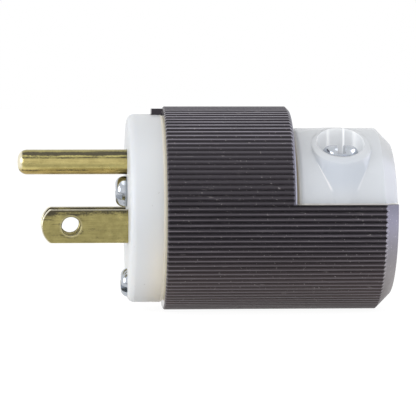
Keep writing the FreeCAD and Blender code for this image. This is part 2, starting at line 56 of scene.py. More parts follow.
# Housing shell
SHELL_RADIUS = 19.45
SHELL_FRONT = 6.8
SHELL_REAR = 50.2
FRONT_EDGE = 0.3
NOTCH_EDGE = 0.7
REAR_CHAMFER = 2.7
CAVITY_RADIUS = 17.05
CAVITY_REAR = 27.9
NOTCH_FRONT = 30.9
PARTING_HEIGHT = 1.2
RIB_COUNT = 120
RIB_STEPS = 10
RIB_DEPTHS = {0.40: (0,), 0.22: (1, 9), 0.05: (2, 8), 0.01: (3, 7)}
TAB_LENGTH = 2.2
TAB_WIDTH = 4.6
TAB_THICKNESS = 1.35
TAB_BASE = 17.7
TAB_CLEARANCE = 0.05
TAB_EASE = 0.15
BOSS_RADIUS = 3.25
BOSS_FRONT = 10.9

# Front body and contacts
BODY_RADIUS = 18.0
BODY_THICKNESS = 6.7
BODY_FRONT_ROUND = 1.3
BODY_REAR_ROUND = 0.6
SPIGOT_RADIUS = 16.75
BLOCK_FRONT = 10.7
BLADE_SPREAD = 6.35
BLADE_HEIGHT = -3.15
BLADE_WIDTH = 6.35
BLADE_THICKNESS = 1.52
BLADE_REACH = 16.4
BLADE_TIP_RADIUS = 4.0
BLADE_HOLE_REACH = 10.8
BLADE_HOLE_RADIUS = 1.75
BLADE_HOLE_EASE = 0.35
BLADE_EASE = 0.26
TANG_REAR = 25.3
TERMINAL_PLACE = 20.9
TERMINAL_HOLE_RADIUS = 2.0
SHOULDER_LENGTH = 2.0
SHOULDER_OVERHANG = 1.5
PIN_HEIGHT = 8.85
PIN_RADIUS = 2.375
PIN_REACH = 20.8
PIN_NOSE_ROUND = 1.75
PIN_NOSE_ARC = 84
PIN_NOSE_BULGE = 0.06
PIN_NOSE_FLAT = 0.2
TANG_WIDTH = 6.35
TANG_THICKNESS = 1.6
CONTACT_CLEARANCE = 0.15

# Cord clamp
CLAMP_FRONT = 31.3
CLAMP_RADIUS = 18.4
CLAMP_AXIS_HEIGHT = -3.1
CLAMP_CROWN = CLAMP_RADIUS + CLAMP_AXIS_HEIGHT
CLAMP_FRONT_ROUND = 1.2
SADDLE_PLACE = 40.0
SADDLE_SPREAD = 9.5
SADDLE_FOOT_RADIUS = 8.65
SADDLE_TOP_RADIUS = 4.8
SADDLE_SLOPE = math.radians(30.0)
SADDLE_FACE_HEIGHT = 12.72
POCKET_RADIUS = 4.5
POCKET_SEAT = 9.75
CORD_RADIUS = 5.5
RIDGE_RADIUS = 4.7
RIDGE_PITCH = 4.6
RIDGE_FOOT = 2.4
RIDGE_CREST = 0.6

# Screws
SCREW_POINT = 0.7
SCREW_RIM = 0.15
SCREW_CROWN_SHARE = 0.7
SCREW_CROWN_ARC = 78
SCREW_CROWN_FLAT = 0.3
SCREW_EASE = 0.08
BLOCK_SCREW = {"head": 2.95, "height": 2.2, "shank": 1.6, "length": 15.4, "slot": (1.1, 1.2)}
HOUSING_SCREW = {"head": 2.8, "height": 2.1, "shank": 1.6, "length": 24.0, "slot": (1.1, 1.2)}
CLAMP_SCREW = {"head": 3.43, "height": 2.4, "shank": 1.75, "length": 18.0, "slot": (1.5, 1.5)}
BLOCK_SCREW_HEIGHT = 3.2
HOUSING_SCREW_HEIGHT = -14.25
HOUSING_SCREW_SUNK = 0.9
HOLE_CLEARANCE = 0.2
THREAD_CLEARANCE = 0.05

# Camera, matched to the photograph's 416 by 416 frame
CAMERA_AZIMUTH = math.radians(-4.0)
CAMERA_ELEVATION = math.radians(2.4)
CAMERA_DISTANCE = 530.0
CAMERA_AIM = Vector((15.6, 0, -0.04))
PIXELS_PER_MM = 5.21
FRAME_PIXELS = 416

# Floor and its light, as the camera and reflections see it
FLOOR_SIZE = 12
FLOOR_GLOW_SHARE = 0.85
FLOOR_WHITE = 1.1
FRONT_DIMMING = 0.65
NEAR_BRIGHTENING = 2.4
RIGHT_BRIGHTENING = 8.0

# Card at the right, light of the surroundings, and lamps
CARD_SIZE = 0.45
CARD_SPOT = (0.5, 0.12, 0.16)
CARD_STRENGTH = 4.4
AMBIENT = 0.78
LAMPS = {
    "above": {"spot": (-0.05, -0.25, 0.75), "size": 0.6, "power": 1.0, "shade": (0.93, 0.95, 1.0)},
    "left": {"spot": (-0.65, -0.25, 0.15), "size": 0.45, "power": 1.5, "shade": (0.92, 0.95, 1.0)},
    "right": {"spot": (0.70, 0.05, 0.12), "size": 0.45, "power": 0.6, "shade": (0.92, 0.93, 1.0)},
}


# Modelling helpers

def make_active(piece):
    bpy.ops.object.select_all(action="DESELECT")
    piece.select_set(True)
    bpy.context.view_layer.objects.active = piece


@contextmanager
def editing(piece, kind="VERT"):
    """Edit mode on one piece, with everything in it selected."""
    make_active(piece)
    bpy.ops.object.mode_set(mode="EDIT")
    bpy.ops.mesh.select_mode(type=kind)
    bpy.ops.mesh.select_all(action="SELECT")
    yield
    bpy.ops.object.mode_set(mode="OBJECT")


def pick_points(piece, test):
    """In edit mode, select the points whose index passes a test."""
    bpy.ops.mesh.select_all(action="DESELECT")
    bpy.ops.object.mode_set(mode="OBJECT")
    for point in piece.data.vertices:
        point.select = test(point.index)
    bpy.ops.object.mode_set(mode="EDIT")


def pick_edges(piece, test):
    """In edit mode, select the edges of which both ends pass a test of their place."""
    bpy.ops.mesh.select_all(action="DESELECT")
    bpy.ops.object.mode_set(mode="OBJECT")
    points = piece.data.vertices
    for edge in piece.data.edges:
        edge.select = all(test(points[i].co) for i in edge.vertices)
    bpy.ops.object.mode_set(mode="EDIT")


def primitive(name, operator, **settings):
    bpy.ops.object.select_all(action="DESELECT")
    operator(**settings)
    piece = bpy.context.object
    piece.name = name
    piece.data.name = name
    return piece


def place(piece, spot=(0, 0, 0), turn=(0, 0, 0)):
    """Turn and move a piece, and put its place into its mesh."""
    make_active(piece)
    piece.rotation_euler = turn
    piece.location = spot
    bpy.ops.object.transform_apply(location=True, rotation=True, scale=True)
    return piece


def draw_out(step):
    bpy.ops.mesh.extrude_region_move(TRANSFORM_OT_translate={"value": step})


def face_outward():
    bpy.ops.mesh.select_all(action="SELECT")
    bpy.ops.mesh.normals_make_consistent(inside=False)


def turned(name, stations, spot=(0, 0, 0), turn=ALONG_X, sides=96):
    """Turn a solid: a disc is drawn out through stations, each a distance along the axis and a radius."""
    (along, radius), rest = stations[0], stations[1:]
    disc = bpy.ops.mesh.primitive_circle_add
    piece = primitive(name, disc, vertices=sides, radius=radius, fill_type="NGON")
    place(piece, (0, 0, along))
    with editing(piece):
        for next_along, next_radius in rest:
            draw_out((0, 0, next_along - along))
            ratio = next_radius / radius
            bpy.ops.transform.resize(value=(ratio, ratio, 1), center_override=(0, 0, next_along))
            along, radius = next_along, next_radius
        face_outward()
    return place(piece, spot, turn)


def arc(along, radius, size, start, end, steps=8):
    """Stations round part of a circle, centred at a distance along the axis and a radius."""
    stations = []
    for i in range(steps + 1):
        angle = math.radians(start + (end - start) * i / steps)
        stations.append((along + size * math.sin(angle), radius + size * math.cos(angle)))
    return stations


def block(name, low, high):
    """A box between two corners."""
    low, high = Vector(low), Vector(high)
    piece = primitive(name, bpy.ops.mesh.primitive_cube_add, size=1)
    piece.scale = high - low
    return place(piece, (low + high) / 2)


def combine(piece, other, operation):
    """Join, cut or trim a piece with another one, which is used up, and merge slivers that this leaves."""
    make_active(piece)
    step = piece.modifiers.new(operation.lower(), "BOOLEAN")
    step.operation = operation
    step.solver = "EXACT"
    step.object = other
    bpy.ops.object.modifier_apply(modifier=step.name)
    bpy.data.objects.remove(other)
    with editing(piece):
        bpy.ops.mesh.remove_doubles(threshold=CLOSE)
        bpy.ops.mesh.dissolve_degenerate(threshold=CLOSE)
    return piece


def carve(piece, *cutters):
    for cutter in cutters:
        combine(piece, cutter, "DIFFERENCE")
    return piece


def slice_off(piece, point, normal):
    """Cut a piece at a plane, drop the side that the normal points to and close the cut."""
    with editing(piece):
        bpy.ops.mesh.bisect(plane_co=point, plane_no=normal, use_fill=True, clear_outer=True)
        face_outward()
    return piece


def ease(piece, width, segments=3, angle=40):
    """Round every sharp edge of a piece."""
    make_active(piece)
    step = piece.modifiers.new("ease", "BEVEL")
    step.width = width
    step.segments = segments
    step.limit_method = "ANGLE"
    step.angle_limit = math.radians(angle)
    bpy.ops.object.modifier_apply(modifier=step.name)
    return piece


def finish(piece, node, material, smooth=35):
    """Scale a piece to metres, shade it, give it its finish and let it stand for its node."""
    with editing(piece):
        bpy.ops.mesh.remove_doubles(threshold=CLOSE)
        face_outward()
    piece.scale = (MM, MM, MM)
    place(piece)
    bpy.ops.object.shade_smooth_by_angle(angle=math.radians(smooth))
    flat = piece.modifiers.new("flat faces", "WEIGHTED_NORMAL")
    flat.weight = 100
    flat.keep_sharp = True
    bpy.ops.object.modifier_apply(modifier=flat.name)
    piece.data.materials.clear()
    piece.data.materials.append(material)
    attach(piece, "root")
    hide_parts(node)
    return piece


# Pieces

def cord_cutter(front, rear):
    """The cord's way between the jaws, with grip ridges that stand in from its wall."""
    stations = [(front, CORD_RADIUS)]
    for i in (-1, 0, 1):
        middle = SADDLE_PLACE + i * RIDGE_PITCH
        stations += [
            (middle - RIDGE_FOOT / 2, CORD_RADIUS),
            (middle - RIDGE_CREST / 2, RIDGE_RADIUS),
            (middle + RIDGE_CREST / 2, RIDGE_RADIUS),
            (middle + RIDGE_FOOT / 2, CORD_RADIUS),
        ]
    stations.append((rear, CORD_RADIUS))
    return turned("cord_cutter", stations, spot=(0, 0, PARTING_HEIGHT), sides=64)


def ribbed_bar():
    """A ribbed round bar: some points of a fine disc are drawn in, rib by rib, then the disc is drawn out."""
    count = RIB_COUNT * RIB_STEPS
    bar = primitive("shell", bpy.ops.mesh.primitive_circle_add, vertices=count, radius=SHELL_RADIUS,
                    fill_type="NGON")
    for depth, steps in RIB_DEPTHS.items():
        ratio = 1 - depth / SHELL_RADIUS
        with editing(bar):
            pick_points(bar, lambda index: index % RIB_STEPS in steps)
            bpy.ops.transform.resize(value=(ratio, ratio, 1), center_override=(0, 0, 0))
    spare = 1
    with editing(bar):
        draw_out((0, 0, SHELL_REAR - SHELL_FRONT + 2 * spare))
        face_outward()
    return place(bar, (SHELL_FRONT - spare, 0, 0), ALONG_X)


def notch_cutter():
    """What the clamp's notch takes out of the shell: all above the parting, and a bevel round its front."""
    beyond = 30
    clear = 1
    ring = turned("ring", [(NOTCH_FRONT - clear, beyond), (NOTCH_FRONT + clear, beyond)], sides=240)
    slope = SHELL_RADIUS - NOTCH_EDGE
    core = turned("core", [
        (NOTCH_FRONT - 2 * clear, slope + 2 * clear),
        (NOTCH_FRONT + 2 * clear, slope - 2 * clear),
    ], sides=240)
    carve(ring, core)
    notch = block("notch", (NOTCH_FRONT, -beyond, 0), (SHELL_REAR + beyond, beyond, beyond))
    combine(ring, notch, "UNION")
    lower = block("lower", (0, -2 * beyond, -2 * beyond), (3 * beyond, 2 * beyond, PARTING_HEIGHT))
    return carve(ring, lower)


def make_shell(material):
    shell = ribbed_bar()
    clear = 0.5
    envelope = turned("envelope", [
        (SHELL_FRONT, SHELL_RADIUS - FRONT_EDGE),
        (SHELL_FRONT + FRONT_EDGE + clear, SHELL_RADIUS + clear),
        (SHELL_REAR - REAR_CHAMFER - clear, SHELL_RADIUS + clear),
        (SHELL_REAR, SHELL_RADIUS - REAR_CHAMFER),
    ], sides=240)
    combine(shell, envelope, "INTERSECT")
    cavity = turned("cavity", [(0, CAVITY_RADIUS), (CAVITY_REAR, CAVITY_RADIUS)], sides=128)
    carve(shell, notch_cutter(), cavity)
    boss = turned("boss", [(BOSS_FRONT, BOSS_RADIUS), (CAVITY_REAR + clear, BOSS_RADIUS)],
                  spot=(0, 0, HOUSING_SCREW_HEIGHT), sides=32)
    combine(shell, boss, "UNION")
    thread = HOUSING_SCREW["shank"] + THREAD_CLEARANCE
    boss_hole = turned("boss_hole", [(0, thread), (CAVITY_REAR, thread)],
                       spot=(0, 0, HOUSING_SCREW_HEIGHT), sides=32)
    carve(shell, boss_hole, cord_cutter(CAVITY_REAR - 1, SHELL_REAR + 1))
    thread = CLAMP_SCREW["shank"] + THREAD_CLEARANCE
    bottom = POCKET_SEAT - CLAMP_SCREW["length"] - HOLE_CLEARANCE
    for side in (-1, 1):
        carve(shell, turned("pilot", [(bottom, thread), (PARTING_HEIGHT + 1, thread)], turn=UPRIGHT, sides=32,
                            spot=(SADDLE_PLACE, side * SADDLE_SPREAD, 0)))
    tab = block("tab", (SHELL_FRONT - TAB_LENGTH, -TAB_WIDTH / 2, TAB_BASE),
                (SHELL_FRONT + clear, TAB_WIDTH / 2, TAB_BASE + TAB_THICKNESS))
    ease(tab, TAB_EASE)
    combine(shell, tab, "UNION")
    return finish(shell, "housing_shell", material, smooth=30)


def make_front_body(material):
    stations = [(BLOCK_FRONT, SPIGOT_RADIUS), (BODY_THICKNESS, SPIGOT_RADIUS)]
    stations += arc(BODY_THICKNESS - BODY_REAR_ROUND, BODY_RADIUS - BODY_REAR_ROUND, BODY_REAR_ROUND, 90, 0)
    stations += arc(BODY_FRONT_ROUND, BODY_RADIUS - BODY_FRONT_ROUND, BODY_FRONT_ROUND, 0, -90, steps=12)
    body = turned("front", stations, sides=160)
    half_wide = BLADE_THICKNESS / 2 + CONTACT_CLEARANCE
    half_tall = BLADE_WIDTH / 2 + CONTACT_CLEARANCE
    through = BLOCK_FRONT + OVERRUN
    for side in (-1, 1):
        middle = side * BLADE_SPREAD
        carve(body, block("slot", (-OVERRUN, middle - half_wide, BLADE_HEIGHT - half_tall),
                          (through, middle + half_wide, BLADE_HEIGHT + half_tall)))
    holes = (
        (PIN_HEIGHT, PIN_RADIUS + CONTACT_CLEARANCE, through),
        (BLOCK_SCREW_HEIGHT, BLOCK_SCREW["shank"] + HOLE_CLEARANCE, through),
        (HOUSING_SCREW_HEIGHT, HOUSING_SCREW["shank"] + HOLE_CLEARANCE, through),
        (HOUSING_SCREW_HEIGHT, HOUSING_SCREW["head"] + HOLE_CLEARANCE, HOUSING_SCREW_SUNK),
    )
    for height, radius, depth in holes:
        carve(body, turned("hole", [(-OVERRUN, radius), (depth, radius)], spot=(0, 0, height), sides=64))
    half_key = TAB_WIDTH / 2 + TAB_CLEARANCE
    carve(body, block("key", (SHELL_FRONT - TAB_LENGTH - TAB_CLEARANCE, -half_key, TAB_BASE - TAB_CLEARANCE),
                      (BODY_THICKNESS + 1, half_key, BODY_RADIUS + 1)))
    return finish(body, "front_body", material)


def make_blade(name, side, material):
    """Flat blade: a disc trimmed to the round tip, drawn out to its tang, thickened, eased and drilled."""
    middle = -BLADE_REACH + BLADE_TIP_RADIUS
    half = BLADE_WIDTH / 2
    thin = BLADE_THICKNESS / 2
    blade = primitive(name, bpy.ops.mesh.primitive_circle_add, vertices=128, radius=BLADE_TIP_RADIUS,
                      fill_type="NGON")
    place(blade, (middle, 0, 0), ALONG_Y)
    trims = (((0, 0, half), (0, 0, 1)), ((0, 0, -half), (0, 0, -1)), ((middle, 0, 0), (1, 0, 0)))
    with editing(blade, "EDGE"):
        for point, normal in trims:
            bpy.ops.mesh.select_all(action="SELECT")
            bpy.ops.mesh.bisect(plane_co=point, plane_no=normal, clear_outer=True)
        pick_edges(blade, lambda spot: abs(spot.x - middle) < CLOSE)
        for length in (BLOCK_FRONT - middle, SHOULDER_LENGTH, TANG_REAR - BLOCK_FRONT - SHOULDER_LENGTH):
            draw_out((length, 0, 0))
        for up in (-1, 1):
            pick_edges(blade, lambda spot: abs(spot.z - up * half) < CLOSE and
                       -CLOSE < spot.x - BLOCK_FRONT < SHOULDER_LENGTH + CLOSE)
            draw_out((0, 0, up * SHOULDER_OVERHANG))
        bpy.ops.mesh.select_all(action="SELECT")
        draw_out((0, BLADE_THICKNESS, 0))
        face_outward()
    place(blade, (0, -thin, 0))
    ease(blade, BLADE_EASE)
    rim = BLADE_HOLE_RADIUS + BLADE_HOLE_EASE
    proud = 0.02
    inner = thin - BLADE_HOLE_EASE + proud
    hole = [(-OVERRUN, rim)] + arc(-inner, rim, BLADE_HOLE_EASE, -90, -180, steps=5)
    hole += arc(inner, rim, BLADE_HOLE_EASE, 180, 90, steps=5) + [(OVERRUN, rim)]
    terminal = [(-OVERRUN, TERMINAL_HOLE_RADIUS), (OVERRUN, TERMINAL_HOLE_RADIUS)]
    for along, stations in ((-BLADE_HOLE_REACH, hole), (TERMINAL_PLACE, terminal)):
        carve(blade, turned("hole", stations, turn=ALONG_Y, sides=64, spot=(along, 0, 0)))
    place(blade, (0, side * BLADE_SPREAD, BLADE_HEIGHT))
    return finish(blade, name + "_blade", material)


def make_pin(material):
    collar = PIN_RADIUS + SHOULDER_OVERHANG
    collar_rear = BLOCK_FRONT + SHOULDER_LENGTH
    stations = [(collar_rear, collar), (BLOCK_FRONT, collar), (BLOCK_FRONT, PIN_RADIUS)]
    stations += arc(PIN_NOSE_ROUND - PIN_REACH, PIN_RADIUS - PIN_NOSE_ROUND, PIN_NOSE_ROUND, 0, -PIN_NOSE_ARC,
                    steps=10)
    stations.append((-PIN_REACH - PIN_NOSE_BULGE, PIN_NOSE_FLAT))
    pin = turned("pin", stations, spot=(0, 0, PIN_HEIGHT), sides=96)
    half = TANG_THICKNESS / 2
    overlap = 0.5
    tang = block("tang", (collar_rear - overlap, -TANG_WIDTH / 2, PIN_HEIGHT - half),
                 (TANG_REAR, TANG_WIDTH / 2, PIN_HEIGHT + half))
    combine(pin, tang, "UNION")
    terminal = [(-OVERRUN, TERMINAL_HOLE_RADIUS), (OVERRUN, TERMINAL_HOLE_RADIUS)]
    carve(pin, turned("hole", terminal, turn=UPRIGHT, spot=(TERMINAL_PLACE, 0, PIN_HEIGHT), sides=48))
    return finish(pin, "ground_pin", material)


def make_screw(name, size, spot, turn, slot_angle, material):
    """Pan-head screw with a rounded crown and a slot at an angle in degrees; its seat is at its spot."""
    head, height, shank, length = size["head"], size["height"], size["shank"], size["length"]
    crown = SCREW_CROWN_SHARE * height
    stations = [(-length, shank - SCREW_POINT), (SCREW_POINT - length, shank), (0, shank)]
    stations += [(0, head - SCREW_RIM), (SCREW_RIM, head)]
    stations += arc(height - crown, head - crown, crown, 0, SCREW_CROWN_ARC, steps=8)
    stations.append((height, SCREW_CROWN_FLAT))
    screw = turned(name, stations, turn=UPRIGHT, sides=72)
    reach = 2 * head
    wide, deep = size["slot"]
    slot = block("slot", (-reach, -wide / 2, height - deep), (reach, wide / 2, height + 1))
    place(slot, turn=(0, 0, math.radians(slot_angle)))
    carve(screw, slot)
    ease(screw, SCREW_EASE, segments=2)
    place(screw, spot, turn)
    return finish(screw, name, material)


def saddle_radius(height):
    """Radius of the conical boss at a height."""
    share = (height - PARTING_HEIGHT) / (CLAMP_CROWN - PARTING_HEIGHT)
    return SADDLE_FOOT_RADIUS + (SADDLE_TOP_RADIUS - SADDLE_FOOT_RADIUS) * share


def make_clamp(material):
    """Arched clamp with a conical boss round each screw, which grows out of the arch, and a slanting rim."""
    edge = CLAMP_FRONT_ROUND
    stations = arc(CLAMP_FRONT + edge, CLAMP_RADIUS - edge, edge, -90, 0)
    stations += [(SHELL_REAR - REAR_CHAMFER, CLAMP_RADIUS), (SHELL_REAR, CLAMP_RADIUS - REAR_CHAMFER)]
    clamp = turned("clamp", stations, spot=(0, 0, CLAMP_AXIS_HEIGHT), sides=200)
    slice_off(clamp, (0, 0, PARTING_HEIGHT), (0, 0, -1))
    lift = 0.01
    foot = PARTING_HEIGHT + lift
    for side in (-1, 1):
        middle = side * SADDLE_SPREAD
        boss = turned("boss", [(foot, saddle_radius(foot)), (CLAMP_CROWN, SADDLE_TOP_RADIUS)],
                      spot=(SADDLE_PLACE, middle, 0), turn=UPRIGHT, sides=128)
        slant = (0, side * math.sin(SADDLE_SLOPE), math.cos(SADDLE_SLOPE))
        slice_off(boss, (SADDLE_PLACE, middle, SADDLE_FACE_HEIGHT), slant)
        combine(clamp, boss, "UNION")
    for side in (-1, 1):
        spot = (SADDLE_PLACE, side * SADDLE_SPREAD, 0)
        pocket = turned("pocket", [(POCKET_SEAT, POCKET_RADIUS), (2 * CLAMP_CROWN, POCKET_RADIUS)],
                        spot=spot, turn=UPRIGHT, sides=96)
        bore = CLAMP_SCREW["shank"] + HOLE_CLEARANCE
        hole = turned("hole", [(0, bore), (POCKET_SEAT + 1, bore)], spot=spot, turn=UPRIGHT, sides=48)
        carve(clamp, pocket, hole)
    carve(clamp, cord_cutter(CLAMP_FRONT - 1, SHELL_REAR + 1))
    return finish(clamp, "cord_clamp", material)


# Finishes

class Wire:
    """A socket that takes part in sums: each operator adds a Math node."""

    def __init__(self, tree, socket):
        self.tree = tree
        self.socket = socket

    def math(self, operation, first, second):
        node = self.tree.nodes.new("ShaderNodeMath")
        node.operation = operation
        for place_in, term in zip(node.inputs, (first, second)):
            if isinstance(term, Wire):
                self.tree.links.new(term.socket, place_in)
            else:
                place_in.default_value = term
        return Wire(self.tree, node.outputs[0])

    def __add__(self, other):
        return self.math("ADD", self, other)

    def __radd__(self, other):
        return self.math("ADD", other, self)

    def __sub__(self, other):
        return self.math("SUBTRACT", self, other)

    def __rsub__(self, other):
        return self.math("SUBTRACT", other, self)

    def __mul__(self, other):
        return self.math("MULTIPLY", self, other)

    def __rmul__(self, other):
        return self.math("MULTIPLY", other, self)

    def __gt__(self, other):
        return self.math("GREATER_THAN", self, other)


class Finish:
    """A material under construction: its tree, its main shader and one method for any node."""

    def __init__(self, name):
        self.material = bpy.data.materials.new(name)
        self.material.use_nodes = True
        self.tree = self.material.node_tree
        self.shader = self.tree.nodes["Principled BSDF"]
        self.spots = self.node("ShaderNodeTexCoord", {}, {}, "Object")

    def node(self, kind, settings, sockets, output=0):
        """Add a node: its settings are set first, then its sockets are filled or linked."""
        node = self.tree.nodes.new(kind)
        for key, setting in settings.items():
            if key == "stops":
                ramp = node.color_ramp
                while len(ramp.elements) < len(setting):
                    ramp.elements.new(0.5)
                for element, (position, tint) in zip(ramp.elements, setting):
                    element.position = position
                    element.color = tint
            else:
                setattr(node, key, setting)
        for key, term in sockets.items():
            self.fill(node.inputs[key], term)
        return Wire(self.tree, node.outputs[output])

    def fill(self, socket, term):
        if isinstance(term, Wire):
            self.tree.links.new(term.socket, socket)
        else:
            socket.default_value = term

    def set(self, **sockets):
        """Fill or link sockets of the main shader, by their names in small letters."""
        for key, term in sockets.items():
            self.fill(self.shader.inputs[key.replace("_", " ").title().replace("Ior", "IOR")], term)

    def noise(self, scale, detail=3.0, stretch=(1, 1, 1), roughness=0.5):
        """Noise in object space, with so many waves to the millimetre and a stretch along each axis."""
        waves = [scale / MM * part for part in stretch]
        spots = self.node("ShaderNodeMapping", {}, {"Vector": self.spots, "Scale": waves})
        sockets = {"Vector": spots, "Scale": 1.0, "Detail": detail, "Roughness": roughness}
        return self.node("ShaderNodeTexNoise", {}, sockets, "Fac")

    def along(self, axis, start, end):
        """0 at one place on an axis and 1 at another, with a soft step between, in millimetres."""
        sockets = {"Value": self.place_on(axis), "From Min": start * MM, "From Max": end * MM}
        return self.node("ShaderNodeMapRange", {"interpolation_type": "SMOOTHSTEP"}, sockets)

    def away(self, **centre):
        """Distance in metres from a line that runs across two axes at given places in millimetres."""
        squares = 0.0
        for axis, spot in centre.items():
            step = self.place_on(axis.upper()) - spot * MM
            squares = step * step + squares
        return self.sum("SQRT", squares)

    def below(self, length, start, end):
        """1 where a length is under a start, 0 where it is over an end, in millimetres."""
        sockets = {"Value": length, "From Min": end * MM, "From Max": start * MM}
        return self.node("ShaderNodeMapRange", {"interpolation_type": "SMOOTHSTEP"}, sockets)

    def mix(self, factor, first, second):
        return self.node("ShaderNodeMix", {"data_type": "RGBA"}, {0: factor, 6: first, 7: second}, 2)

    def ramp(self, factor, *stops):
        grey = [(position, (level, level, level, 1)) for position, level in stops]
        return self.node("ShaderNodeValToRGB", {"stops": grey}, {"Fac": factor}, "Color")

    def bump(self, height, strength, distance, rounding=0.0):
        """Relief, on edges that look rounded by a radius in millimetres."""
        sockets = {"Strength": strength, "Distance": distance * MM, "Height": height}
        if rounding:
            sockets["Normal"] = self.node("ShaderNodeBevel", {"samples": 6}, {"Radius": rounding * MM})
        self.set(normal=self.node("ShaderNodeBump", {}, sockets, "Normal"))

    def sum(self, operation, *terms):
        """A Math node that has no operator of its own."""
        return self.node("ShaderNodeMath", {"operation": operation}, dict(enumerate(terms)))

    def place_on(self, axis):
        return self.node("ShaderNodeSeparateXYZ", {}, {"Vector": self.spots}, axis)


def tint(red, green, blue):
    return (red, green, blue, 1)


def black_nylon():
    """Moulded black nylon: satin, with painted highlights along the rib crests, painted glints along the
    front edge and a painted sheen on the notch bevel, painted light in the grooves, lighter and browner below
    as painted warm bounce light, and with dust and hairs.
    """
    skin = Finish("black_nylon")
    cloud = skin.noise(0.15)
    flow = skin.noise(1.2, stretch=(0.08, 1, 1))
    specks = skin.ramp(skin.noise(2.4, detail=1.0), (0.70, 0), (0.75, 1))
    hairs = skin.ramp(skin.noise(3.0, detail=1.0, stretch=(0.12, 1, 1)), (0.74, 0), (0.79, 1))
    dust = specks * 0.4 + hairs * 0.25
    turn = skin.sum("ARCTAN2", skin.place_on("Y"), skin.place_on("Z"))
    wave = skin.sum("COSINE", turn * RIB_COUNT) * -1
    radius = skin.away(y=0, z=0)
    on_ribs = 1 - skin.below(radius, SHELL_RADIUS - 0.6, SHELL_RADIUS - 0.45)
    off_bevel = radius + skin.place_on("X") - (NOTCH_FRONT + SHELL_RADIUS - NOTCH_EDGE) * MM
    # painted sheen along the bevel at the front of the notch
    notch_bevel_sheen = skin.below(skin.sum("ABSOLUTE", off_bevel), 0.03, 0.10)
    notch_bevel_sheen = notch_bevel_sheen * skin.below(radius, SHELL_RADIUS - 0.50, SHELL_RADIUS - 0.35)
    notch_bevel_sheen = notch_bevel_sheen * skin.along("Z", PARTING_HEIGHT, PARTING_HEIGHT + 0.2)
    front_face = skin.along("X", SHELL_FRONT + 0.06, SHELL_FRONT + 0.02)
    # painted highlight along the middle of each rib crest
    crest_highlight = skin.ramp(wave, (0.70, 0), (1.0, 1)) * skin.ramp(flow, (0.30, 0.5), (0.65, 1)) * on_ribs
    # painted light in the rib grooves
    painted_groove_light = skin.ramp(wave * -1, (0.1, 0), (0.9, 1)) * on_ribs
    # painted glints along the shell's front edge, broken up by the flow noise
    front_edge_glint = skin.along("X", SHELL_FRONT + 0.35, SHELL_FRONT + 0.05)
    front_edge_glint = front_edge_glint * skin.ramp(flow, (0.35, 0.2), (0.6, 1))
    front_edge_glint = front_edge_glint * skin.along("X", SHELL_FRONT - 0.2, SHELL_FRONT - 0.05)
    base = skin.mix(cloud, tint(0.008, 0.0065, 0.009), tint(0.014, 0.012, 0.015))
    # painted warm bounce light: lighter and browner towards the bottom
    base = skin.mix(skin.along("Z", -4, -19), base, tint(0.056, 0.039, 0.033))
    on_top = skin.along("Z", 13, 16)
    # share of painted light in the grooves: more of it higher up, none on top
    groove_light_share = (0.40 + skin.along("Z", -2, 6) * 0.35) * (1 - on_top)
    base = skin.mix(painted_groove_light * groove_light_share, base, tint(0.078, 0.070, 0.078))
    low_and_high = 0.2 + skin.along("Z", 4, -4) * 0.8 + skin.along("Z", 10, 17) * 0.8
    # painted crest highlights: strongest low down and high up, and bluish and brightest on top
    base = skin.mix(crest_highlight * low_and_high, base, tint(0.185, 0.165, 0.185))
    base = skin.mix(crest_highlight * skin.along("Z", 11, 16), base, tint(0.38, 0.36, 0.42))
    # painted glints on the front edge
    base = skin.mix(front_edge_glint * 0.35, base, tint(0.40, 0.38, 0.38))
    # painted sheen on the notch bevel, stronger lower down
    base = skin.mix(notch_bevel_sheen * (0.2 + skin.along("Z", 13, 3) * 0.6), base, tint(0.50, 0.51, 0.60))
    base = skin.mix(dust, base, tint(0.40, 0.37, 0.36))
    roughness = (0.34 + flow * 0.14 + dust * 0.3) * (1 - front_face * 0.75)
    skin.set(base_color=base, roughness=roughness, specular_tint=tint(0.97, 0.90, 1.0))
    skin.bump(skin.noise(3.0), 0.12, 0.05)
    return skin.material


def front_nylon():
    """White nylon, cooler at its front, with painted shade towards its rear and top, painted light on its
    lower half, painted warm bounce light towards its lower rear and a painted glow at its neck, behind.
    """
    skin = Finish("white_nylon")
    cloud = skin.noise(0.08)
    fine = skin.noise(1.0)
    base = skin.mix(cloud, tint(0.77, 0.79, 0.81), tint(0.74, 0.76, 0.78))
    # painted shade towards the rear and the top, and painted light on the lower half
    base = skin.mix(skin.along("X", 1, 6.5) * 0.5, base, tint(0.67, 0.67, 0.65))
    base = skin.mix(skin.along("Z", 4, 18) * 0.5, base, tint(0.60, 0.61, 0.62))
    base = skin.mix(skin.along("Z", 0, -14) * 0.5, base, tint(0.90, 0.90, 0.88))
    # painted warm bounce light towards the lower rear
    warm_bounce_light = skin.along("X", 1.5, 7) * skin.along("Z", 2, -17)
    base = skin.mix(warm_bounce_light * 0.85, base, tint(1.0, 0.90, 0.72))
    # painted glow at the rear neck, where the body meets the shell
    neck_glow = skin.along("X", BODY_THICKNESS - 0.7, BODY_THICKNESS - 0.25)
    base = skin.mix(neck_glow * 0.8, base, tint(0.74, 0.70, 0.60))
    specks = skin.ramp(skin.noise(1.6, detail=1.0), (0.78, 0), (0.81, 1))
    base = skin.mix(specks * 0.3, base, tint(0.30, 0.26, 0.22))
    # painted glow: an emission at the neck
    glow = skin.mix(neck_glow, tint(0, 0, 0), tint(0.36, 0.34, 0.28))
    skin.set(base_color=base, roughness=0.32 + fine * 0.12, emission_color=glow, emission_strength=1.0,
             subsurface_weight=0.35, subsurface_radius=(1.0, 0.9, 0.75), subsurface_scale=1.5 * MM)
    skin.bump(fine, 0.03, 0.03, rounding=0.2)
    return skin.material


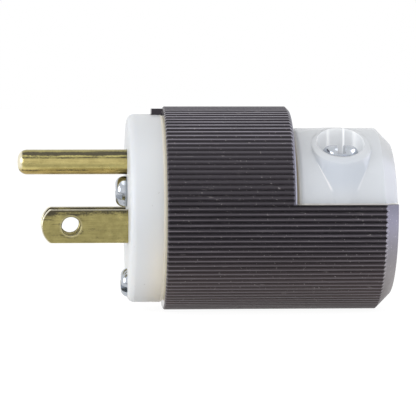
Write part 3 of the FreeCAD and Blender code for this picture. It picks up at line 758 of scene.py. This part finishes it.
def clear_nylon():
    """Milky nylon: smooth, bluish, with painted shade on its top, its rear bevel and its bosses, painted
    highlight lines along the bosses' creases, painted brown shade along its front edge, and a painted glow at
    its lower lip, its front and its pockets' walls, which also have painted highlight streaks.
    """
    skin = Finish("clear_nylon")
    cloud = skin.noise(0.10)
    fine = skin.noise(0.6)
    across = skin.sum("ABSOLUTE", skin.place_on("Y")) - SADDLE_SPREAD * MM
    lengthwise = skin.place_on("X") - SADDLE_PLACE * MM
    from_axis = skin.sum("SQRT", across * across + lengthwise * lengthwise)
    taper = (SADDLE_TOP_RADIUS - SADDLE_FOOT_RADIUS) / (CLAMP_CROWN - PARTING_HEIGHT)
    boss_radius = (skin.place_on("Z") - PARTING_HEIGHT * MM) * taper + SADDLE_FOOT_RADIUS * MM
    off_boss = skin.sum("ABSOLUTE", from_axis - boss_radius)
    off_arch = skin.sum("ABSOLUTE", skin.away(y=0, z=CLAMP_AXIS_HEIGHT) - CLAMP_RADIUS * MM)
    # painted highlight lines where the bosses meet the arch
    crease_highlight = skin.below(off_boss, 0.02, 0.12) * skin.below(off_arch, 0.02, 0.10)
    crease_highlight = crease_highlight * skin.along("Z", PARTING_HEIGHT + 2.2, PARTING_HEIGHT + 3.2) * skin.along("Z", 9.5, 8.0)
    # painted glow on the pockets' walls
    pocket = (POCKET_RADIUS * MM + 0.03 * MM - from_axis) > 0
    pocket = pocket * skin.along("Z", POCKET_SEAT, POCKET_SEAT + 0.3)
    # painted highlight streaks across the pockets' walls
    pocket_highlight_streaks = skin.ramp(skin.along("X", SADDLE_PLACE - POCKET_RADIUS, SADDLE_PLACE + POCKET_RADIUS),
                        (0.0, 0.17), (0.14, 0.20), (0.20, 0.41), (0.27, 0.22), (0.63, 0.18), (0.685, 0.6),
                        (0.715, 0.18), (0.88, 0.21), (0.93, 0.41), (1.0, 0.20))
    base = skin.mix(cloud, tint(0.73, 0.755, 0.785), tint(0.69, 0.715, 0.75))
    # painted shade towards the top
    base = skin.mix(skin.along("Z", 6, 15) * 0.5, base, tint(0.55, 0.56, 0.565))
    rear = SHELL_REAR - REAR_CHAMFER
    # painted shade on the rear bevel
    base = skin.mix(skin.along("X", rear - 0.1, rear + 0.3) * 0.5, base, tint(0.50, 0.505, 0.515))
    # painted bluish shade on the bosses, fading out low down
    boss = skin.below(from_axis - boss_radius, 0.0, 0.1) * skin.along("Z", 11, 8)
    boss = boss * skin.along("Z", PARTING_HEIGHT + 0.5, PARTING_HEIGHT + 5)
    base = skin.mix(boss * 0.5, base, tint(0.58, 0.63, 0.71))
    # painted crease highlights, stronger on the front half of each boss
    crease_highlight = crease_highlight * (0.4 + skin.along("X", SADDLE_PLACE + 1, SADDLE_PLACE - 1) * 0.5)
    base = skin.mix(crease_highlight, base, tint(0.98, 0.98, 1.0))
    # painted brown shade along the front edge, where it meets the shell
    base = skin.mix(skin.along("X", CLAMP_FRONT + 0.3, CLAMP_FRONT + 0.05), base, tint(0.50, 0.38, 0.20))
    # painted glow along the lower lip: a lighter colour and an emission
    lip_glow = skin.along("Z", PARTING_HEIGHT + 0.35, PARTING_HEIGHT + 0.1)
    base = skin.mix(lip_glow, base, tint(0.95, 0.93, 0.89))
    glow = skin.mix(lip_glow, tint(0, 0, 0), tint(0.22, 0.21, 0.19))
    # painted glow on the front face
    glow = skin.mix(skin.along("X", CLAMP_FRONT + 0.8, CLAMP_FRONT + 0.3), glow, tint(0.14, 0.13, 0.11))
    # painted glow and highlight streaks on the pockets' walls
    glow = skin.mix(pocket, glow, pocket_highlight_streaks)
    skin.set(base_color=base, roughness=0.20 + fine * 0.10, specular_ior_level=0.25,
             emission_color=glow, emission_strength=1.0,
             subsurface_weight=0.6, subsurface_radius=(1.0, 1.0, 1.0), subsurface_scale=2.0 * MM)
    skin.bump(fine, 0.03, 0.03, rounding=0.5)
    return skin.material


def aged_brass(skin, bright, dull, dark, painted_highlight):
    """Stamped brass with an olive bloom and drawn-out tarnish, most of it where dark, and pale at painted
    highlights; what is dark is partly painted shade and painted dark reflections.
    """
    streak = skin.noise(1.4, detail=6.0, stretch=(0.14, 1, 1), roughness=0.65)
    scratch = skin.noise(5.0, detail=4.0, stretch=(0.05, 1, 1))
    bloom = skin.noise(0.6, detail=6.0, roughness=0.65)
    grit = skin.noise(3.5, detail=3.0)
    # tarnish, with the dark marks passed in, some of them painted shade and painted dark reflections, added
    # to it
    tarnish_and_painted_dark = skin.ramp(streak * 0.7 + grit * 0.3 + dark * 0.26, (0.57, 0), (0.74, 1))
    patina = skin.ramp(bloom * 0.5 + streak * 0.25 + scratch * 0.25, (0.40, 0), (0.60, 1))
    base = skin.mix(patina, bright, dull)
    base = skin.mix(tarnish_and_painted_dark * 0.9, base, tint(0.045, 0.037, 0.024))
    # pale brass at the painted highlights that are passed in
    base = skin.mix(painted_highlight, base, tint(0.97, 0.91, 0.74))
    skin.set(base_color=base, metallic=1 - tarnish_and_painted_dark * 0.5, roughness=0.26 + tarnish_and_painted_dark * 0.22 + patina * 0.10)
    skin.bump(scratch, 0.1, 0.03)
    return skin.material


def pin_brass():
    """Brass of the pin, with painted dark reflection lines along it, painted bright and dull reflection bands
    and a painted highlight on its nose.
    """
    skin = Finish("pin_brass")
    # painted dark reflection lines along the pin, at given heights
    dark = 0.0
    painted_dark_lines = ((1.7, 0.1, 0.5, 1.0), (1.2, 0.3, 0.7, 0.42), (0.84, 0.02, 0.2, 0.5), (-1.5, 0.05, 0.3, 0.55))
    for height, inner, outer, strength in painted_dark_lines:
        off_line = skin.sum("ABSOLUTE", skin.place_on("Z") - (PIN_HEIGHT + height) * MM)
        dark = skin.below(off_line, inner, outer) * strength + dark
    # painted highlight on the pin's nose
    nose_highlight = skin.along("X", 1.0 - PIN_REACH, 0.6 - PIN_REACH)
    nose_highlight = nose_highlight * skin.along("Z", PIN_HEIGHT - 1.7, PIN_HEIGHT - 0.6)
    # painted reflection bands along the pin: brighter and duller brass by height
    bright, dull = tint(0.60, 0.51, 0.215), tint(0.41, 0.34, 0.135)
    painted_reflection_bands = (
        (0.4, 0.9, tint(0.39, 0.345, 0.13), tint(0.28, 0.245, 0.095)),
        (0.1, -0.5, tint(0.84, 0.73, 0.30), tint(0.62, 0.53, 0.21)),
        (-1.0, -1.6, tint(0.49, 0.37, 0.125), tint(0.35, 0.26, 0.085)),
    )
    for start, end, zone_bright, zone_dull in painted_reflection_bands:
        share = skin.along("Z", PIN_HEIGHT + start, PIN_HEIGHT + end)
        bright = skin.mix(share, bright, zone_bright)
        dull = skin.mix(share, dull, zone_dull)
    return aged_brass(skin, bright, dull, dark * (1 - nose_highlight), nose_highlight * 0.8)


def blade_brass():
    """Brass of the blades, dark near the top, the tip and round the hole, with painted shade on the hole's
    wall and painted highlights along the top edge, the tip's edge and the hole's rim.
    """
    skin = Finish("blade_brass")
    top = skin.along("Z", BLADE_HEIGHT + 1.6, BLADE_HEIGHT + 3.0)
    tip = skin.along("X", 4 - BLADE_REACH, 1 - BLADE_REACH) * skin.along("Z", BLADE_HEIGHT, BLADE_HEIGHT + 2)
    from_hole = skin.away(x=-BLADE_HOLE_REACH, z=BLADE_HEIGHT)
    # rim of the hole, where a painted highlight goes
    rim = skin.below(from_hole, BLADE_HOLE_RADIUS + 0.3, BLADE_HOLE_RADIUS + 0.5)
    # painted shade on the hole's wall
    hole_wall_shade = skin.below(from_hole, BLADE_HOLE_RADIUS + 0.06, BLADE_HOLE_RADIUS + 0.16)
    halo = skin.below(from_hole, BLADE_HOLE_RADIUS + 0.5, BLADE_HOLE_RADIUS + 1.0) - rim
    from_tip = skin.away(x=BLADE_TIP_RADIUS - BLADE_REACH, z=BLADE_HEIGHT)
    # painted highlight on the tip's rounded edge
    edge = 1 - skin.below(from_tip, BLADE_TIP_RADIUS - 0.28, BLADE_TIP_RADIUS - 0.12)
    edge = edge * skin.along("X", BLADE_TIP_RADIUS - BLADE_REACH, BLADE_TIP_RADIUS - BLADE_REACH - 1)
    # painted highlight along the top edge
    upper = skin.along("Z", BLADE_HEIGHT + 2.95, BLADE_HEIGHT + 3.12)
    # dark: tarnish near the top, the tip and round the hole, and painted shade on the hole's wall
    dark = top + tip * 0.6 + halo * 0.35 + hole_wall_shade * 0.6
    # painted highlights along the top edge, the tip's edge and the hole's rim
    painted_highlight = upper * 0.45 + edge * 0.7 + (rim - hole_wall_shade) * 0.12
    return aged_brass(skin, tint(0.465, 0.404, 0.164), tint(0.316, 0.272, 0.108), dark, painted_highlight)


def plated(name, bright, dull, roughness):
    """Bright plated metal with a few duller patches."""
    skin = Finish(name)
    patch = skin.noise(0.9, detail=4.0)
    skin.set(base_color=skin.mix(patch, bright, dull), metallic=1.0, roughness=roughness + patch * 0.1)
    skin.bump(skin.noise(3.0), 0.06, 0.03)
    return skin.material


# The plug

black = black_nylon()
white = front_nylon()
milky = clear_nylon()
stamped = blade_brass()
drawn = pin_brass()
zinc = plated("zinc_plate", tint(0.58, 0.61, 0.65), tint(0.38, 0.41, 0.46), 0.10)
screw_brass = plated("screw_brass", tint(0.75, 0.58, 0.28), tint(0.62, 0.46, 0.20), 0.25)
green = plated("green_screw", tint(0.10, 0.36, 0.16), tint(0.07, 0.28, 0.12), 0.3)

make_shell(black)
make_front_body(white)
make_clamp(milky)
make_blade("line", -1, stamped)
make_blade("neutral", 1, stamped)
make_pin(drawn)
screws = (
    ("block_screw", BLOCK_SCREW, (0, 0, BLOCK_SCREW_HEIGHT), TOWARDS_FACE, 72),
    ("housing_screw", HOUSING_SCREW, (HOUSING_SCREW_SUNK, 0, HOUSING_SCREW_HEIGHT), TOWARDS_FACE, 62),
    ("clamp_screw_right", CLAMP_SCREW, (SADDLE_PLACE, -SADDLE_SPREAD, POCKET_SEAT), UPRIGHT, 88),
    ("clamp_screw_left", CLAMP_SCREW, (SADDLE_PLACE, SADDLE_SPREAD, POCKET_SEAT), UPRIGHT, 40),
)
for name, size, spot, turn, slot_angle in screws:
    make_screw(name, size, spot, turn, slot_angle, zinc)

# The parts inside keep the shape that they were built with
inner_finishes = {
    "terminal_block": white,
    "line_terminal_screw": screw_brass,
    "neutral_terminal_screw": zinc,
    "ground_terminal_screw": green,
    "line_pressure_plate": screw_brass,
    "neutral_pressure_plate": screw_brass,
    "ground_pressure_plate": screw_brass,
}
for node, material in inner_finishes.items():
    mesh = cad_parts[node].data
    mesh.materials.clear()
    mesh.materials.append(material)


# Floor, light and camera

def seen_share(tree):
    """1 for rays of the camera, of reflections and through clear things, and 0 for those of plain light."""
    rays = tree.nodes.new("ShaderNodeLightPath").outputs
    seen = Wire(tree, rays["Is Camera Ray"]) + Wire(tree, rays["Is Glossy Ray"])
    return (seen + Wire(tree, rays["Is Transmission Ray"])) > 0.5


def pale_ground():
    """White to the camera and faintly shadowed; to reflections dim just in front and bright at the right."""
    ground = Finish("pale_floor")
    grain = ground.noise(0.01)
    ground.set(base_color=ground.mix(grain, tint(0.88, 0.88, 0.88), tint(0.92, 0.92, 0.92)), roughness=0.9)
    dim = ground.along("Y", -16, -34) * ground.along("Y", -180, -60)
    lit = ground.along("X", 50, 65) * NEAR_BRIGHTENING + ground.along("X", 60, 160) * RIGHT_BRIGHTENING
    lit = lit * ground.along("X", 420, 300) * ground.along("Y", -140, -80) * ground.along("Y", 200, 120)
    reflected = 1 - dim * FRONT_DIMMING + lit
    glossy = Wire(ground.tree, ground.tree.nodes.new("ShaderNodeLightPath").outputs["Is Glossy Ray"])
    strength = FLOOR_WHITE + glossy * (reflected - FLOOR_WHITE)
    cool = ground.mix(glossy * ground.along("X", 60, 160), tint(1, 1, 1), tint(0.76, 0.78, 1.0))
    glow = ground.node("ShaderNodeEmission", {}, {"Color": cool, "Strength": strength})
    plain = Wire(ground.tree, ground.shader.outputs[0])
    share = seen_share(ground.tree) * FLOOR_GLOW_SHARE
    mixed = ground.node("ShaderNodeMixShader", {}, {0: share, 1: plain, 2: glow})
    ground.fill(ground.tree.nodes["Material Output"].inputs["Surface"], mixed)
    return ground.material


def make_floor():
    floor = primitive("floor", bpy.ops.mesh.primitive_plane_add, size=FLOOR_SIZE)
    place(floor, (0, 0, -SHELL_RADIUS * MM))
    floor.data.materials.append(pale_ground())


def make_bright_card():
    """A bluish light at the right that only reflections see: it draws the shell's bevels."""
    card = primitive("bright_card", bpy.ops.mesh.primitive_plane_add, size=CARD_SIZE)
    place(card, CARD_SPOT, TOWARDS_FACE)
    skin = Finish("bright_card")
    glow = skin.mix(skin.noise(0.005), tint(0.76, 0.79, 1.0), tint(0.84, 0.86, 1.0))
    skin.set(base_color=tint(0, 0, 0), emission_color=glow, emission_strength=CARD_STRENGTH)
    card.data.materials.append(skin.material)
    card.visible_camera = False
    card.visible_diffuse = False
    card.visible_shadow = False
    card.visible_transmission = False


def make_world():
    """White to the camera and to reflections, and a softer white as plain light."""
    world = bpy.data.worlds.new("studio")
    bpy.context.scene.world = world
    world.use_nodes = True
    background = world.node_tree.nodes["Background"].inputs
    strength = seen_share(world.node_tree) * (1 - AMBIENT) + AMBIENT
    world.node_tree.links.new(strength.socket, background["Strength"])
    background["Color"].default_value = tint(1, 1, 1)


def make_lamp(name, spot, size, power, shade):
    """A round lamp that points at what the camera looks at."""
    lamp = bpy.data.lights.new(name, "AREA")
    lamp.shape = "DISK"
    lamp.size = size
    lamp.energy = power
    lamp.color = shade
    holder = bpy.data.objects.new(name, lamp)
    bpy.context.scene.collection.objects.link(holder)
    holder.location = spot
    aim = CAMERA_AIM * MM - Vector(spot)
    holder.rotation_euler = aim.to_track_quat("-Z", "Y").to_euler()


def camera_side():
    """The direction from the plug to the camera."""
    level = math.cos(CAMERA_ELEVATION)
    across, back = math.sin(CAMERA_AZIMUTH), -math.cos(CAMERA_AZIMUTH)
    return Vector((across * level, back * level, math.sin(CAMERA_ELEVATION)))


def make_camera():
    lens = bpy.data.cameras.new("camera")
    camera = bpy.data.objects.new("camera", lens)
    bpy.context.scene.collection.objects.link(camera)
    camera.location = (CAMERA_AIM + camera_side() * CAMERA_DISTANCE) * MM
    camera.rotation_euler = camera_side().to_track_quat("Z", "Y").to_euler()
    lens.sensor_fit = "HORIZONTAL"
    lens.angle = 2 * math.atan(FRAME_PIXELS / 2 / (PIXELS_PER_MM * CAMERA_DISTANCE))
    lens.clip_start = 0.01
    bpy.context.scene.camera = camera


make_floor()
make_bright_card()
make_world()
for name, settings in LAMPS.items():
    make_lamp(name, **settings)
make_camera()
bpy.context.scene.view_settings.view_transform = "Standard"
